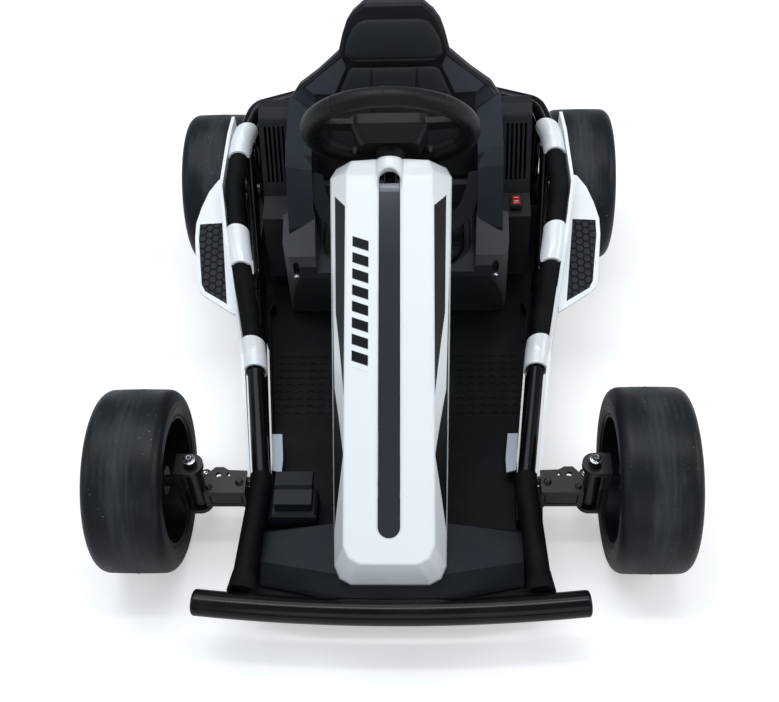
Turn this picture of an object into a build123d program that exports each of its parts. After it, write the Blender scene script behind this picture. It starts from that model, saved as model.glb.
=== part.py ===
from build123d import *
import math
import os

# Electric drift kart. Millimetres, +Z up, the front towards -Y, the driver's left on +X.
# The origin is on the ground under the middle of the kart's overall box.

# Wheels and stance
wheel_radius = 128
tyre_width = 105
wheelbase = 610
front_track = 698
rear_track = 609
fit_gap = 0.3

# Front bumper: a round tube with a slight forward bow
bumper_diameter = 35
bumper_half = 259
bumper_ahead = 187
bumper_bow = 14
bumper_z = 102

# The front axle's place along Y puts the overall box's middle at the origin
axle_y = -(wheelbase + wheel_radius - bumper_ahead - bumper_diameter / 2) / 2
rear_y = axle_y + wheelbase

# Tubes of the frame
rail_diameter = 25
sleeve_diameter = 31
grip_wall = 1.8
clip_wall = 3
lower_diameter = 20
stay_diameter = 16
leg_diameter = 22

# Steering gear
kingpin_x = 275
kingpin_radius = 5
arm_length = 45
tie_z = 54
tie_radius = 5
drop_shaft_y = axle_y + 30

# Steering column: its axis rises towards the driver
column_angle = 29
shaft_radius = 9
wheel_centre_y = axle_y + 385
wheel_centre_z = 428


def spot(x, behind, z):
    """Give a point by its distance behind the front axle."""
    return (x, axle_y + behind, z)


def mirrored(points):
    """Mirror points to the other side of the kart, last one first."""
    return [(-x, y, z) for x, y, z in reversed(points)]


def bar(points, bend, diameter):
    """Add a round bar along straight runs joined by arcs of the given radii."""
    with BuildLine() as path:
        if bend:
            FilletPolyline(*points, radius=bend)
        else:
            Polyline(*points)
    start = Plane(origin=path.line @ 0, z_dir=path.line % 0)
    with BuildSketch(start) as section:
        Circle(diameter / 2)
    sweep(section.sketch, path=path.line)


# Rail route on the left side, as x, distance behind the front axle, z
tyre_top = 2 * wheel_radius
rail_route = [
    (197, -160, 102),
    (186, 12, 107),
    (213, 220, 130),
    (243, 374, 211),
    (258, 474, 245),
    (250, 556, tyre_top + 19),
    (226, 602, tyre_top + 50),
    (150, 616, tyre_top + 62),
]
rail_bends = [60, 90, 150, 90, 60, 25, 60]
rail_left = [spot(*row) for row in rail_route]
hoop_points = rail_left + mirrored(rail_left)
hoop_bends = rail_bends + list(reversed(rail_bends))

os.makedirs("parts", exist_ok=True)

# Front bumper
bumper_y = axle_y - bumper_ahead
with BuildPart() as front_bumper:
    with BuildLine() as bumper_line:
        ThreePointArc(
            (-bumper_half, bumper_y + bumper_bow, bumper_z),
            (0, bumper_y, bumper_z),
            (bumper_half, bumper_y + bumper_bow, bumper_z),
        )
    with BuildSketch(Plane(origin=bumper_line.line @ 0, z_dir=bumper_line.line % 0)) as bumper_ring:
        Circle(bumper_diameter / 2)
    sweep(bumper_ring.sketch, path=bumper_line.line)
    fillet(front_bumper.edges().filter_by(GeomType.CIRCLE), 4)
front_bumper.part.label = "front_bumper"
export_step(front_bumper.part, "parts/front_bumper.step")

# Side rails and rear hoop, one bent tube
with BuildPart() as side_hoop:
    bar(hoop_points, hoop_bends, rail_diameter)
side_hoop.part.label = "side_hoop"
export_step(side_hoop.part, "parts/side_hoop.step")

# Rail solids of greater diameter that cut room for the tube, and shape what wraps it
with BuildPart() as rail_room:
    bar(hoop_points, hoop_bends, rail_diameter + 2 * fit_gap)
with BuildPart() as grip_blank:
    bar(hoop_points, hoop_bends, rail_diameter + 2 * (fit_gap + grip_wall))
with BuildPart() as sleeve_blank:
    bar(hoop_points, hoop_bends, sleeve_diameter)
with BuildPart() as grip_room:
    bar(hoop_points, hoop_bends, rail_diameter + 4 * fit_gap + 2 * grip_wall)
with BuildPart() as clip_blank:
    bar(hoop_points, hoop_bends, rail_diameter + 4 * fit_gap + 2 * grip_wall + 2 * clip_wall)

SIDES = (("left", 1), ("right", -1))

# Matte sleeves over the front of each rail, with a flared foot at the bumper
sleeve_front = axle_y - 158.5
sleeve_back = axle_y + 20
for side, sign in SIDES:
    with BuildPart() as rail_sleeve:
        with Locations((sign * 190, (sleeve_front + sleeve_back) / 2, 105)):
            Box(90, sleeve_back - sleeve_front, 80)
        add(sleeve_blank.part, mode=Mode.INTERSECT)
        rail_start = Vector(*spot(sign * rail_route[0][0], *rail_route[0][1:]))
        rail_next = Vector(*spot(sign * rail_route[1][0], *rail_route[1][1:]))
        rail_run = (rail_next - rail_start).normalized()
        with BuildSketch(Plane(origin=rail_start + rail_run * 2, z_dir=rail_run)) as foot:
            Circle(sleeve_diameter / 2 + 4)
        with BuildSketch(Plane(origin=rail_start + rail_run * 30, z_dir=rail_run)) as neck:
            Circle(sleeve_diameter / 2 + 0.6)
        loft(sections=[foot.sketch, neck.sketch])
        add(rail_room.part, mode=Mode.SUBTRACT)
    rail_sleeve.part.label = "rail_sleeve_" + side
    export_step(rail_sleeve.part, "parts/rail_sleeve_" + side + ".step")

# Matte grips between the clips, each one a length of the wrapped rail
grip_spans = [(238, 348), (400, 528)]
with BuildPart() as rail_grips:
    for start, end in grip_spans:
        with Locations((0, axle_y + (start + end) / 2, 200)):
            Box(700, end - start, 300)
    add(grip_blank.part, mode=Mode.INTERSECT)
    add(rail_room.part, mode=Mode.SUBTRACT)
rail_grips.part.label = "rail_grips"
export_step(rail_grips.part, "parts/rail_grips.step")

# Lower rails: from under the sleeve's end back to a coupling, then a thin stay up to the hoop
lower_front = (187, 34, 84)
lower_back = (230, 405, 98)
stay_top = (239, 552, 262)
coupling_length = 34
coupling_diameter = 24
with BuildPart() as lower_rails:
    for side, sign in SIDES:
        front = spot(sign * lower_front[0], *lower_front[1:])
        back = spot(sign * lower_back[0], *lower_back[1:])
        bar([front, back], 0, lower_diameter)
    add(rail_room.part, mode=Mode.SUBTRACT)
lower_rails.part.label = "lower_rails"
export_step(lower_rails.part, "parts/lower_rails.step")

with BuildPart() as lower_room:
    for side, sign in SIDES:
        front = spot(sign * lower_front[0], *lower_front[1:])
        back = spot(sign * lower_back[0], *lower_back[1:])
        bar([front, back], 0, lower_diameter + 2 * fit_gap)
with BuildPart() as rear_stays:
    for side, sign in SIDES:
        front = Vector(*spot(sign * lower_front[0], *lower_front[1:]))
        back = Vector(*spot(sign * lower_back[0], *lower_back[1:]))
        run = (back - front).normalized()
        bar([back - run * coupling_length / 2, back + run * coupling_length / 2], 0, coupling_diameter)
        top = Vector(*spot(sign * stay_top[0], *stay_top[1:]))
        bar([back + run * 4, back + run * 30, top], 25, stay_diameter)
    add(lower_room.part, mode=Mode.SUBTRACT)
    add(rail_room.part, mode=Mode.SUBTRACT)
rear_stays.part.label = "rear_stays"
export_step(rear_stays.part, "parts/rear_stays.step")

# Hoop legs from the hoop's corners down to the rear axle blocks
leg_x = 227
block_size = (26, 46, 50)
with BuildPart() as rear_legs:
    for side, sign in SIDES:
        with Locations((sign * leg_x, rear_y - 6, (wheel_radius + 306) / 2)):
            Cylinder(leg_diameter / 2, 306 - wheel_radius)
        with Locations((sign * leg_x, rear_y, wheel_radius)):
            Box(*block_size)
    add(rail_room.part, mode=Mode.SUBTRACT)
    with Locations(Plane.YZ):
        with Locations((rear_y, wheel_radius)):
            Hole(8 + fit_gap)
rear_legs.part.label = "rear_legs"
export_step(rear_legs.part, "parts/rear_legs.step")

# Floor tray between the lower rails, with low lips and the tunnel's opening
floor_z = 66
floor_wall = 4
floor_lip = 24
floor_front = axle_y - 48
floor_back = axle_y + 370
tunnel_half = 62
tunnel_back = axle_y + 150
chevron_x = 140
chevron_y = axle_y + 216
chevron_rise = 1.2
with BuildPart() as floor_tray:
    with BuildSketch(Plane.XY.offset(floor_z)) as floor_outline:
        with BuildLine():
            Polyline(
                (-174, floor_front), (174, floor_front), (177, axle_y + 60), (211, floor_back - 18),
                (205, floor_back), (-205, floor_back), (-211, floor_back - 18), (-177, axle_y + 60),
                close=True,
            )
        make_face()
    extrude(amount=floor_wall)
    with BuildSketch(Plane.XY.offset(floor_z)) as lip_outline:
        add(floor_outline.sketch)
        offset(amount=-3, mode=Mode.SUBTRACT)
        with Locations((0, floor_back), (0, floor_front)):
            Rectangle(400, 14, mode=Mode.SUBTRACT)
    extrude(amount=floor_lip)
    with BuildSketch(Plane.XY.offset(floor_z)):
        with Locations((0, (floor_front + tunnel_back) / 2)):
            Rectangle(2 * (tunnel_half - 3), tunnel_back - floor_front - 40)
    extrude(amount=floor_wall, mode=Mode.SUBTRACT)
    with BuildSketch(Plane.XY.offset(floor_z + floor_wall)):
        for side, sign in SIDES:
            with Locations((sign * chevron_x, chevron_y)):
                with GridLocations(17, 14, 6, 9):
                    Polygon(
                        (-6, -3), (0, 1), (6, -3), (6, -0.5), (0, 3.5), (-6, -0.5), align=None,
                    )
    extrude(amount=chevron_rise)
floor_tray.part.label = "floor_tray"
export_step(floor_tray.part, "parts/floor_tray.step")

# Sill plates: narrow plates over the floor's lips, beside the lower rails
sill_wall = 3
sill_z = floor_z + floor_lip + fit_gap
sill_outline = [(175, 40), (181, 104), (166, 104), (161, 60), (161, 36)]
for side, sign in SIDES:
    with BuildPart() as sill_plate:
        with BuildSketch(Plane.XY.offset(sill_z)):
            with BuildLine():
                Polyline(*[(sign * x, axle_y + behind) for x, behind in sill_outline], close=True)
            make_face()
        extrude(amount=sill_wall)
    sill_plate.part.label = "sill_plate_" + side
    export_step(sill_plate.part, "parts/sill_plate_" + side + ".step")

# Front pan: a faceted cover from the bumper back to the floor, higher under the fairing
pan_half = 178
pan_crown_half = 66
pan_wall = 3
pan_top = 112
pan_edge = [(-130, 66), (-126, 76), (-106, 90), (-62, 90), (-52, 80), (-52, 66)]
pan_crown = [(-154, 66), (-152, 78), (-138, pan_top), (-58, pan_top), (-52, 100), (-52, 66)]


def pan_form(wall):
    """Give the pan's sections across the kart, or those of its inside."""
    stations = []
    places = [(wall - pan_half, pan_edge), (-pan_crown_half, pan_crown), (pan_crown_half, pan_crown)]
    for x, profile in places + [(pan_half - wall, pan_edge)]:
        with BuildSketch(Plane.YZ.offset(x)) as station:
            with BuildLine():
                corners = [(b + wall if b < -90 else b - wall, z - wall) for b, z in profile]
                Polyline(*[(axle_y + behind, z) for behind, z in corners], close=True)
            make_face()
        stations.append(station.sketch)
    return stations


with BuildPart() as front_pan:
    loft(sections=pan_form(0), ruled=True)
    loft(sections=pan_form(pan_wall), ruled=True, mode=Mode.SUBTRACT)
front_pan.part.label = "front_pan"
export_step(front_pan.part, "parts/front_pan.step")

# Column axis: the shaft runs from the joint over the drop shaft up to the wheel's hub
rise = math.radians(column_angle)
axis_y = math.cos(rise)
axis_z = math.sin(rise)
joint_z = wheel_centre_z - (wheel_centre_y - drop_shaft_y) * math.tan(rise)
shaft_length = (wheel_centre_y - drop_shaft_y) / axis_y

column = Plane(
    origin=(0, wheel_centre_y, wheel_centre_z), x_dir=(-1, 0, 0), z_dir=(0, axis_y, axis_z)
)

# Fairing: a white shell that rises from the nose to the steering wheel
fairing_angle = 29
fairing_length = 556
fairing_nose = (axle_y - 158, 158)
fairing_wall = 3
fairing_depth = 46
nose_half = 67
top_half = 74
lens_half = 14.5
slot_start = 41
lens_length = 478
slot_length = fairing_length - slot_start - 19
crease = fairing_length - 26
end_drop = 8
cowl_radius = 18
cowl_wall = 3
cowl_start = crease - 18
cowl_rise = 11
nose_reach = 18
fairing_rise = math.radians(fairing_angle)
fairing_plane = Plane(
    origin=(0, fairing_nose[0], fairing_nose[1]),
    x_dir=(1, 0, 0),
    z_dir=(0, -math.sin(fairing_rise), math.cos(fairing_rise)),
)
fairing_side = Plane(
    origin=(-150, fairing_nose[0], fairing_nose[1]),
    x_dir=(0, math.cos(fairing_rise), math.sin(fairing_rise)),
    z_dir=(1, 0, 0),
)
skirt_nose = nose_half + 7
skirt_top = top_half + 12


def fairing_outline(half_nose, half_top, start, end, inset):
    """Sketch corners of the fairing at one depth: nose first, then the top end."""
    right = [
        (half_nose - 22, start), (half_nose - 7, start + 8), (half_nose, start + 24),
        (half_top, end - 2 * inset), (half_top - inset, end - 2), (22, end),
    ]
    return right + [(-x, y) for x, y in reversed(right)]


def fairing_form(wall, depth):
    """Give the fairing's two sections, or those of its inside."""
    skirt = fairing_outline(
        skirt_nose - wall, skirt_top - wall, wall - nose_reach, fairing_length + 3 - wall, 8
    )
    crown = fairing_outline(
        nose_half - 8 - wall, top_half - 14 - wall, 8 + wall, fairing_length - 1 - wall, 10
    )
    sections = []
    for drop, corners in ((depth, skirt), (wall, crown)):
        with BuildSketch(fairing_plane.offset(-drop)) as section:
            with BuildLine():
                Polyline(*corners, close=True)
            make_face()
        sections.append(section.sketch)
    return sections


def end_bevel(drop):
    """Sketch the space over the sloping top end."""
    with BuildSketch(fairing_side) as bevel:
        with BuildLine():
            Polyline(
                (crease, -drop), (fairing_length + 10, -drop - end_drop), (fairing_length + 10, 40),
                (crease, 40), close=True,
            )
        make_face()
    return bevel.sketch


with BuildPart() as fairing_core:
    loft(sections=fairing_form(fairing_wall, fairing_depth + 1), ruled=True)
    extrude(end_bevel(fairing_wall), amount=300, mode=Mode.SUBTRACT)
with BuildPart() as fairing_shell:
    loft(sections=fairing_form(0, fairing_depth), ruled=True)
    extrude(end_bevel(0), amount=300, mode=Mode.SUBTRACT)
    cowl_origin = fairing_plane.from_local_coords((0, cowl_start, cowl_rise - cowl_radius))
    cowl_plane = Plane(origin=cowl_origin, x_dir=(1, 0, 0), z_dir=fairing_side.x_dir)
    with BuildSketch(cowl_plane) as cowl:
        Circle(cowl_radius)
    extrude(cowl.sketch, amount=fairing_length - 2 - cowl_start)
    with BuildSketch(cowl_plane) as cowl_mouth:
        Circle(cowl_radius - cowl_wall)
    extrude(cowl_mouth.sketch, amount=crease - cowl_start, mode=Mode.SUBTRACT)
    with BuildSketch(fairing_side) as cowl_rake:
        with BuildLine():
            Polyline(
                (cowl_start - 1, 0), (cowl_start, 0), (crease + 6, cowl_rise), (crease + 6, cowl_rise + 9),
                (cowl_start - 1, cowl_rise + 9), close=True,
            )
        make_face()
    extrude(cowl_rake.sketch, amount=300, mode=Mode.SUBTRACT)
    add(fairing_core.part, mode=Mode.SUBTRACT)
    with BuildSketch(fairing_plane) as lens_slot:
        with Locations((0, slot_start + slot_length / 2)):
            SlotCenterToCenter(slot_length - 2 * lens_half, 2 * lens_half, rotation=90)
    extrude(lens_slot.sketch, amount=cowl_rise, both=True, mode=Mode.SUBTRACT)
    with BuildSketch(column) as shaft_hole:
        Circle(shaft_radius + 3)
    extrude(shaft_hole.sketch, amount=-120, mode=Mode.SUBTRACT)
fairing_shell.part.label = "fairing_shell"
export_step(fairing_shell.part, "parts/fairing_shell.step")

with BuildPart() as fairing_lens:
    with BuildSketch(fairing_plane.offset(-1)):
        with Locations((0, slot_start + slot_length / 2)):
            SlotCenterToCenter(slot_length - 2 * lens_half, 2 * (lens_half - fit_gap), rotation=90)
        with Locations((0, slot_start + lens_length)):
            Rectangle(3 * lens_half, slot_length, align=(Align.CENTER, Align.MIN), mode=Mode.SUBTRACT)
    extrude(amount=-fairing_wall)
fairing_lens.part.label = "fairing_lens"
export_step(fairing_lens.part, "parts/fairing_lens.step")

# Tunnel: a hollow wedge under the fairing that encloses the drop shaft
tunnel_low = pan_top + fit_gap
with BuildPart() as steering_tunnel:
    with BuildSketch(Plane.YZ.offset(-tunnel_half)):
        with BuildLine():
            Polyline(
                (axle_y - 122, tunnel_low), (axle_y - 126, 146), (axle_y + 236, 347), (axle_y + 250, 334),
                (tunnel_back, floor_z + floor_wall + fit_gap),
                (axle_y - 44, floor_z + floor_wall + fit_gap), (axle_y - 46, tunnel_low), close=True,
            )
        make_face()
    extrude(amount=2 * tunnel_half)
    tunnel_bottom = steering_tunnel.faces().filter_by(Axis.Z).sort_by(Axis.Z)[0]
    tunnel_roof = steering_tunnel.faces().filter_by(Axis.X, reverse=True).sort_by(SortBy.AREA)[-1]
    offset(amount=-3, openings=[tunnel_bottom, tunnel_roof])
    with BuildSketch(column):
        Circle(shaft_radius + 4)
    extrude(amount=-shaft_length, mode=Mode.SUBTRACT)
steering_tunnel.part.label = "steering_tunnel"
export_step(steering_tunnel.part, "parts/steering_tunnel.step")

# Front axle beam: a channel cranked down between the rails, with drilled lobes and kingpin tubes
beam_deep = 28
beam_top = 118
beam_low = 82
beam_tip = 264
lobe_x = 246
lobe_y = axle_y + 16
lobe_hole = 4
tube_radius = 12
tube_top = 156
with BuildPart() as front_axle_beam:
    with BuildSketch(Plane.XZ.offset(-axle_y - beam_deep / 2)):
        with BuildLine():
            Polyline(
                (-beam_tip, beam_top), (-206, beam_top), (-206, 90), (-182, 90), (-178, 61), (178, 61),
                (182, 90), (206, 90), (206, beam_top), (beam_tip, beam_top), (beam_tip, beam_low),
                (212, beam_low), (190, 43), (-190, 43), (-212, beam_low), (-beam_tip, beam_low), close=True,
            )
        make_face()
    extrude(amount=beam_deep)
    with BuildSketch(Plane.XZ.offset(-axle_y - beam_deep / 2 + 6)):
        with Locations((-234, 100), (234, 100)):
            RectangleRounded(46, 24, 4)
    extrude(amount=beam_deep - 6, mode=Mode.SUBTRACT)
    with BuildSketch(Plane.XY.offset(beam_top - 5)):
        for side, sign in SIDES:
            with BuildLine():
                Polyline(
                    (sign * 206, axle_y), (sign * 206, axle_y + 23), (sign * 232, axle_y + 24),
                    (sign * 240, axle_y + 29), (sign * 252, axle_y + 29), (sign * 258, axle_y + 22),
                    (sign * (beam_tip + 4), axle_y + 8), (sign * (beam_tip + 2), axle_y), close=True,
                )
            make_face()
            with Locations((sign * 232, axle_y + 15)):
                Triangle(a=10, b=10, c=10, mode=Mode.SUBTRACT)
    extrude(amount=5)
    with Locations((-lobe_x, lobe_y, beam_top), (lobe_x, lobe_y, beam_top)):
        Hole(lobe_hole, depth=5)
    with BuildSketch(Plane.XY.offset(beam_low)):
        with Locations((-kingpin_x, axle_y), (kingpin_x, axle_y)):
            Circle(tube_radius)
    extrude(amount=tube_top - beam_low)
    with Locations((-kingpin_x, axle_y, tube_top), (kingpin_x, axle_y, tube_top)):
        Hole(kingpin_radius + fit_gap, depth=tube_top - beam_low)
front_axle_beam.part.label = "front_axle_beam"
export_step(front_axle_beam.part, "parts/front_axle_beam.step")

# Knuckles: two ears, a plate, the kingpin, the wheel spindle and the steering arm
ear_radius = 17
ear_thick = 8
ear_low = 68
ear_high = tube_top + 4
plate_x = kingpin_x + 14
spindle_radius = 8
wheel_x = front_track / 2
for side, sign in SIDES:
    with BuildPart() as knuckle:
        for ear_z in (ear_low, ear_high):
            with BuildSketch(Plane.XY.offset(ear_z)):
                with Locations((sign * kingpin_x, axle_y)):
                    Circle(ear_radius)
                with Locations((sign * (kingpin_x + 9), axle_y)):
                    Rectangle(18, 2 * ear_radius)
            extrude(amount=ear_thick)
        with Locations((sign * (plate_x + 4), axle_y, (ear_low + ear_high + ear_thick) / 2)):
            Box(8, 2 * ear_radius, ear_high + ear_thick - ear_low)
        with Locations((sign * kingpin_x, axle_y, (ear_low + ear_high + 24) / 2)):
            Cylinder(kingpin_radius, ear_high - ear_low + 24)
        with Locations((sign * kingpin_x, axle_y, ear_high + ear_thick + 5)):
            Cylinder(9, 10)
        with BuildSketch(Plane.XY.offset(ear_low)):
            with BuildLine():
                Polyline(
                    (sign * (kingpin_x - 11), axle_y), (sign * (kingpin_x - 9), axle_y + arm_length),
                    (sign * (kingpin_x + 9), axle_y + arm_length), (sign * (kingpin_x + 11), axle_y),
                    close=True,
                )
            make_face()
            with Locations((sign * kingpin_x, axle_y + arm_length)):
                Circle(9)
        extrude(amount=ear_thick)
        with Locations((sign * kingpin_x, axle_y + arm_length, (tie_z - 8 + ear_low) / 2)):
            Cylinder(4, ear_low - tie_z + 8)
        with Locations((sign * (plate_x + wheel_x + 34) / 2, axle_y, wheel_radius)):
            Cylinder(spindle_radius, wheel_x + 34 - plate_x, rotation=(0, 90, 0))
    knuckle.part.label = "knuckle_" + side
    export_step(knuckle.part, "parts/knuckle_" + side + ".step")

# Tie rod: eyes round the arm pins, and a tab that reaches back to the pitman pin
pitman_pin_y = drop_shaft_y + arm_length
tie_y = axle_y + arm_length
with BuildPart() as tie_rod:
    with Locations((0, tie_y, tie_z)):
        Cylinder(tie_radius, 2 * kingpin_x, rotation=(0, 90, 0))
    with BuildSketch(Plane.XY.offset(tie_z - 4)):
        with Locations((-kingpin_x, tie_y), (kingpin_x, tie_y)):
            Circle(10)
        with Locations((0, (tie_y + pitman_pin_y) / 2)):
            Rectangle(20, pitman_pin_y - tie_y)
        with Locations((0, pitman_pin_y)):
            Circle(10)
    extrude(amount=8)
    with BuildSketch(Plane.XY.offset(tie_z - 8)):
        with Locations((-kingpin_x, tie_y), (kingpin_x, tie_y), (0, pitman_pin_y)):
            Circle(5)
    extrude(amount=16, mode=Mode.SUBTRACT)
tie_rod.part.label = "tie_rod"
export_step(tie_rod.part, "parts/tie_rod.step")

# Pitman arm with its upright drop shaft
with BuildPart() as pitman_arm:
    with BuildSketch(Plane.XY.offset(tie_z + 9)):
        with Locations((0, (drop_shaft_y + pitman_pin_y) / 2)):
            Rectangle(20, arm_length)
        with Locations((0, drop_shaft_y), (0, pitman_pin_y)):
            Circle(10)
    extrude(amount=7)
    with Locations((0, drop_shaft_y, (tie_z + 9 + joint_z - 14) / 2)):
        Cylinder(7, joint_z - 14 - tie_z - 9)
    with Locations((0, pitman_pin_y, tie_z + 2)):
        Cylinder(4, 18)
pitman_arm.part.label = "pitman_arm"
export_step(pitman_arm.part, "parts/pitman_arm.step")

# Steering shaft
with BuildPart() as steering_shaft:
    with BuildSketch(column.offset(-20)):
        Circle(shaft_radius)
    extrude(amount=-(shaft_length - 20))
steering_shaft.part.label = "steering_shaft"
export_step(steering_shaft.part, "parts/steering_shaft.step")

# Steering wheel: a padded rim with a flat lower side, two spokes, a lower web and a deep hub block
rim_radius = 113
grip_radius = 14
rim_flat = -87
hub_width = 106
hub_height = 86
hub_depth = 30
boss_depth = 44
boss_radius = 20
with BuildPart() as steering_wheel:
    with BuildLine(column) as rim_path:
        low_angle = math.radians(28)
        low_x = rim_radius * math.cos(low_angle)
        low_y = -rim_radius * math.sin(low_angle)
        ThreePointArc((low_x, low_y), (0, rim_radius), (-low_x, low_y))
        Polyline((-low_x, low_y), (-64, rim_flat), (64, rim_flat), (low_x, low_y))
        fillet(rim_path.vertices(), 20)
    rim_wire = rim_path.wires()[0]
    with BuildSketch(Plane(origin=rim_wire @ 0, z_dir=rim_wire % 0)) as rim_section:
        Circle(grip_radius)
    sweep(rim_section.sketch, path=rim_wire)
    with BuildSketch(column.offset(-6)) as hub_face:
        RectangleRounded(hub_width, hub_height, 14)
    extrude(hub_face.sketch, amount=14)
    with BuildSketch(column.offset(-hub_depth)) as hub_back:
        RectangleRounded(hub_width - 26, hub_height - 26, 14)
    loft(sections=[hub_face.sketch, hub_back.sketch])
    with BuildSketch(column.offset(-boss_depth)) as boss:
        Circle(boss_radius)
    extrude(boss.sketch, amount=boss_depth - 10)
    with BuildSketch(column.offset(-5)) as spokes:
        for sign in (1, -1):
            with BuildLine():
                Polyline(
                    (sign * 40, 10), (sign * rim_radius, 22), (sign * (rim_radius - 6), 42), (sign * 40, 38),
                    close=True,
                )
            make_face()
        with BuildLine():
            Polyline((-46, -36), (46, -36), (56, rim_flat), (-56, rim_flat), close=True)
        make_face()
    extrude(spokes.sketch, amount=8)
    with BuildSketch(column.offset(-20)) as shaft_bore:
        Circle(shaft_radius + fit_gap)
    extrude(shaft_bore.sketch, amount=-boss_depth, mode=Mode.SUBTRACT)
steering_wheel.part.label = "steering_wheel"
export_step(steering_wheel.part, "parts/steering_wheel.step")

# Column bearing: a sleeve round the shaft, on a cross plate between the tunnel's walls
bearing_drop = 150
with BuildPart() as column_bearing:
    with BuildSketch(column.offset(-bearing_drop)):
        Circle(13)
    extrude(amount=-100)
    with BuildSketch(column.offset(-bearing_drop - 40)):
        with Locations((0, -16)):
            Rectangle(2 * (tunnel_half - 3 - fit_gap), 30)
    extrude(amount=-12)
    with BuildSketch(column.offset(-bearing_drop + 10)):
        Circle(shaft_radius + fit_gap)
    extrude(amount=-140, mode=Mode.SUBTRACT)
column_bearing.part.label = "column_bearing"
export_step(column_bearing.part, "parts/column_bearing.step")

# Side panels: a blade along the rail's outer side, clips over the rail, and a sloping wing
blade_thick = 5
blade_route = [(203, 20), (229.5, 222), (259, 374), (275, 472), (267, 560), (262, 590)]
blade_top = [(6, 104), (222, 138), (374, 220), (472, 256), (560, tyre_top + 34), (592, tyre_top + 44)]
blade_bottom = [(592, tyre_top + 20), (500, 222), (290, 150), (222, 118), (6, 98)]
clip_spans = [(196, 240, 118), (344, 402, 211), (524, 568, tyre_top + 17)]
wing_slope = 19.8
wing_start = 290
wing_z = 150
wing_thick = 6
pad_recess = 2.5
scale_radius = 6
tyre_front = wheelbase - wheel_radius
wing_outline = [
    (250, 291), (300, 322), (308, 330), (313, 342), (321, tyre_front - 66), (321, tyre_front - 41),
    (314, tyre_front - 14), (304, tyre_front + 12), (290, tyre_front + 32), (268, tyre_front + 38),
    (255, tyre_front + 18), (250, 380),
]
pad_outline = [
    (263, 308), (299, 329), (305, 340), (315, tyre_front - 68), (315, tyre_front - 43),
    (279, tyre_front - 41),
]
wing_plane = Plane(origin=(0, axle_y + wing_start, wing_z), x_dir=(1, 0, 0)).rotated((wing_slope, 0, 0))
for side, sign in SIDES:
    with BuildPart() as side_panel:
        with BuildSketch():
            with BuildLine():
                inner = [(sign * x, axle_y + behind) for x, behind in blade_route]
                outer = [(sign * (x + blade_thick), axle_y + behind) for x, behind in blade_route]
                Polyline(*inner, *reversed(outer), close=True)
            make_face()
        extrude(amount=400)
        with BuildSketch(Plane.YZ.offset(-400)):
            with BuildLine():
                Polyline(*[(axle_y + behind, z) for behind, z in blade_top + blade_bottom], close=True)
            make_face()
        extrude(amount=800, mode=Mode.INTERSECT)
    with BuildPart() as clip_rings:
        for start, end, middle in clip_spans:
            with Locations((sign * 250, axle_y + (start + end) / 2, middle + 40)):
                Box(200, end - start, 90)
        add(clip_blank.part, mode=Mode.INTERSECT)
    stretch = 1 / math.cos(math.radians(wing_slope))
    with BuildPart() as wing:
        with BuildSketch(wing_plane) as wing_form:
            with BuildLine():
                Polyline(*[(sign * x, (behind - wing_start) * stretch) for x, behind in wing_outline], close=True)
            make_face()
        extrude(wing_form.sketch, amount=-wing_thick)
        with BuildSketch(wing_plane) as pad_form:
            with BuildLine():
                Polyline(*[(sign * x, (behind - wing_start) * stretch) for x, behind in pad_outline], close=True)
            make_face()
        extrude(pad_form.sketch, amount=-pad_recess, mode=Mode.SUBTRACT)
    with BuildPart() as step_pad:
        with BuildSketch(wing_plane.offset(-pad_recess + 0.1)) as pad_plate:
            add(pad_form.sketch_local)
            offset(amount=-fit_gap, kind=Kind.INTERSECTION)
        extrude(pad_plate.sketch, amount=1.2)
        with BuildSketch(wing_plane.offset(1.3 - pad_recess)) as scales:
            with Locations((sign * 288, 94)):
                with HexLocations(scale_radius, 5, 14):
                    RegularPolygon(scale_radius - 0.9, 6)
            add(pad_plate.sketch_local, mode=Mode.INTERSECT)
        extrude(scales.sketch, amount=0.9)
    step_pad.part.label = "step_pad_" + side
    export_step(step_pad.part, "parts/step_pad_" + side + ".step")
    with BuildPart() as whole_panel:
        add(side_panel.part)
        add(clip_rings.part)
        add(wing.part)
        add(grip_room.part, mode=Mode.SUBTRACT)
    whole_panel.part.label = "side_panel_" + side
    export_step(whole_panel.part, "parts/side_panel_" + side + ".step")

# Seat base: a moulded bucket, open below, with cheeks beside a dished seat pan
base_half = 166
base_flare = 10
base_round = 34
base_wall = 6
base_front = 352
base_low = 66
base_flare_end = 426
cheek_line = [(352, 168), (354, 190), (364, 203), (430, 236), (510, 218), (560, 218)]
base_profile = [(base_front + 20, base_low)] + cheek_line + [(578, base_low)]
saddle_z = 178
saddle_half = 122
dish_z = 165
dish_half = 116
dish_front = base_front + 11
dish_back = 511
dish_round = 58


def side_face(x, profile, grow=0):
    """Sketch a closed outline of places behind the axle and heights on a side plane."""
    with BuildSketch(Plane.YZ.offset(x)) as face:
        with BuildLine():
            Polyline(*[(axle_y + behind, z) for behind, z in profile], close=True)
        make_face()
        if grow:
            offset(amount=grow, kind=Kind.INTERSECTION)
    return face.sketch


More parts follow.
